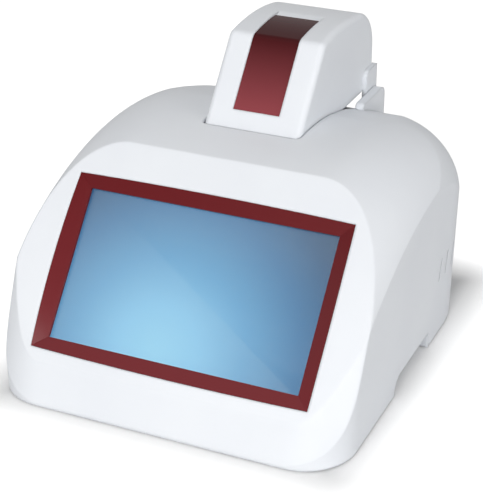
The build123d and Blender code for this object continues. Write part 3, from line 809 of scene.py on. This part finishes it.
@dataclass
class RearPorts(SubAssembly):
    """The panel at the back with the power switch and the sockets."""

    def finishes(self) -> dict[str, Finish]:
        """Give the finish of each CAD node."""
        black = MouldedAbs("abs_black", colour="#1B1C1E", shade="#17181A", roughness=(0.5, 0.6))
        return {
            "port_panel": black,
            "switch_frame": black,
            # Painted shade: the black nylon is painted a little darker towards the top.
            "power_rocker": GlossPlastic("nylon_black", low="#101012", high="#0D0D0F"),
            "dc_jack": GlossPlastic("nylon_black_socket", low="#121214", high="#0E0E10"),
            "usb_ports": NICKEL,
        }


@dataclass(frozen=True)
class Lamp:
    """A soft rectangular lamp, with its place and size in metres and its power in watts."""

    name: str
    place: Triple
    size: tuple[float, float]
    watts: float

    def hang(self, target: Triple) -> None:
        """Hang the lamp so that it faces a point.

        Args:
            target: The point, in metres.
        """
        data = bpy.data.lights.new(self.name, "AREA")
        data.shape = "RECTANGLE"
        data.size, data.size_y = self.size
        data.energy = self.watts
        lamp = bpy.data.objects.new(self.name, data)
        lamp.location = self.place
        lamp.rotation_mode = "QUATERNION"
        lamp.rotation_quaternion = (Vector(target) - Vector(self.place)).to_track_quat("-Z", "Y")
        bpy.context.scene.collection.objects.link(lamp)


@dataclass
class Studio:
    """Floor, lights and camera of a plain pale studio.

    The floor glows only for the camera, and less close to the footing, where it keeps the object's real
    shadow and adds painted shadow round the footing.
    Lengths are in metres where their name doesn't say otherwise.
    """

    eye_mm: Triple = (341.5, -769.9, 487.0)
    azimuth: float = 24.193
    elevation: float = 27.048
    lens_mm: float = 113.446
    sensor_mm: float = 36.0
    fill: float = 0.3
    floor_half: float = 6.0
    paper_white: str = "#E7E7E7"
    near_glow: float = 0.0
    far_glow: float = 0.7
    footing: tuple[float, float] = (0.098, 0.118)
    painted_shadow_reach: float = 0.034
    target: Triple = (0.0, 0.0, 0.08)
    lamps: tuple[Lamp, ...] = (
        Lamp("key_lamp", (0.1, -2.1, 1.15), (1.3, 1.1), 28.0),
        Lamp("top_lamp", (-0.3, -0.4, 2.3), (1.6, 1.6), 5.0),
        Lamp("side_lamp", (2.2, -1.0, 0.5), (1.1, 1.1), 19.0),
    )

    def build(self) -> None:
        """Make the camera, the world, the floor and the lamps."""
        self.place_camera()
        self.light_world()
        self.lay_floor()
        for lamp in self.lamps:
            lamp.hang(self.target)
        bpy.context.scene.view_settings.view_transform = "Standard"

    def place_camera(self) -> None:
        """Set the camera where the photograph was taken from."""
        data = bpy.data.cameras.new("photo_camera")
        data.lens = self.lens_mm
        data.sensor_width = self.sensor_mm
        data.sensor_fit = "AUTO"
        camera = bpy.data.objects.new("photo_camera", data)
        azimuth = math.radians(self.azimuth)
        elevation = math.radians(self.elevation)
        level = math.cos(elevation)
        back = Vector((math.sin(azimuth) * level, -math.cos(azimuth) * level, math.sin(elevation)))
        camera.location = Vector(self.eye_mm) * MM
        camera.rotation_mode = "QUATERNION"
        camera.rotation_quaternion = (-back).to_track_quat("-Z", "Y")
        bpy.context.scene.collection.objects.link(camera)
        bpy.context.scene.camera = camera

    def light_world(self) -> None:
        """Light the scene evenly, and show the camera, glass and reflections a white surround."""
        world = bpy.data.worlds.new("studio_world")
        world.use_nodes = True
        tree = world.node_tree
        tree.nodes.clear()
        path = add_node(tree, "ShaderNodeLightPath")
        seen = path.outputs["Is Camera Ray"]
        for ray in ("Is Transmission Ray", "Is Glossy Ray"):
            either = add_node(
                tree, "ShaderNodeMath", {"operation": "MAXIMUM"}, links={0: seen, 1: path.outputs[ray]}
            )
            seen = either.outputs[0]
        level = add_node(
            tree, "ShaderNodeMapRange", values={"To Min": self.fill, "To Max": 1.0}, links={"Value": seen}
        )
        light = add_node(
            tree, "ShaderNodeBackground", values={"Color": to_linear("#FFFFFF")},
            links={"Strength": level.outputs[0]},
        )
        add_node(tree, "ShaderNodeOutputWorld", links={"Surface": light.outputs[0]})
        bpy.context.scene.world = world

    def lay_floor(self) -> None:
        """Lay a pale floor that looks white to the camera, keeps the shadow and has painted shadow round the
        footing.
        """
        mesh = bmesh.new()
        bmesh.ops.create_grid(mesh, x_segments=1, y_segments=1, size=self.floor_half)
        data = bpy.data.meshes.new("floor")
        mesh.to_mesh(data)
        mesh.free()
        data.materials.append(self.paper())
        floor = bpy.data.objects.new("floor", data)
        bpy.context.scene.collection.objects.link(floor)

    def paper(self) -> bpy.types.Material:
        """Make the white paper of the floor.

        Returns:
            The material, dull, with a glow for the camera that grows away from the footing, leaving painted
            shadow near it.
        """
        material = bpy.data.materials.new("white_paper_sweep")
        material.use_nodes = True
        tree = material.node_tree
        tree.nodes.clear()
        place = add_node(tree, "ShaderNodeTexCoord").outputs["Object"]
        spread = add_node(tree, "ShaderNodeVectorMath", {"operation": "ABSOLUTE"}, links={0: place})
        past = add_node(
            tree, "ShaderNodeVectorMath", {"operation": "SUBTRACT"},
            {1: (*self.footing, 0.0)}, {0: spread.outputs[0]},
        )
        outside = add_node(
            tree, "ShaderNodeVectorMath", {"operation": "MAXIMUM"}, {1: (0.0, 0.0, 0.0)}, {0: past.outputs[0]}
        )
        away = add_node(tree, "ShaderNodeVectorMath", {"operation": "LENGTH"}, links={0: outside.outputs[0]})
        # Painted shadow: the glow fades out towards the footing, so the floor round it is darker.
        level = add_node(
            tree, "ShaderNodeMapRange",
            values={"From Max": self.painted_shadow_reach, "To Min": self.near_glow, "To Max": self.far_glow},
            links={"Value": away.outputs["Value"]},
        )
        dull = add_node(tree, "ShaderNodeBsdfDiffuse", values={"Color": to_linear(self.paper_white)})
        glow = add_node(
            tree, "ShaderNodeEmission", values={"Color": to_linear("#FFFFFF")},
            links={"Strength": level.outputs[0]},
        )
        both = add_node(tree, "ShaderNodeAddShader", links={0: dull.outputs[0], 1: glow.outputs[0]})
        path = add_node(tree, "ShaderNodeLightPath")
        seen = add_node(
            tree, "ShaderNodeMixShader",
            links={0: path.outputs["Is Camera Ray"], 1: dull.outputs[0], 2: both.outputs[0]},
        )
        add_node(tree, "ShaderNodeOutputMaterial", links={"Surface": seen.outputs[0]})
        return material


def main() -> None:
    """Build the scene."""
    logging.basicConfig(level=logging.INFO, format="%(name)s: %(message)s")
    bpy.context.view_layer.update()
    Studio().build()
    for part in (Housing, Display, LidArm, Hinge, MeasuringHead, SampleWell, Electronics, RearPorts):
        part().build()
    bpy.context.view_layer.update()


if __name__ == "__main__":
    main()
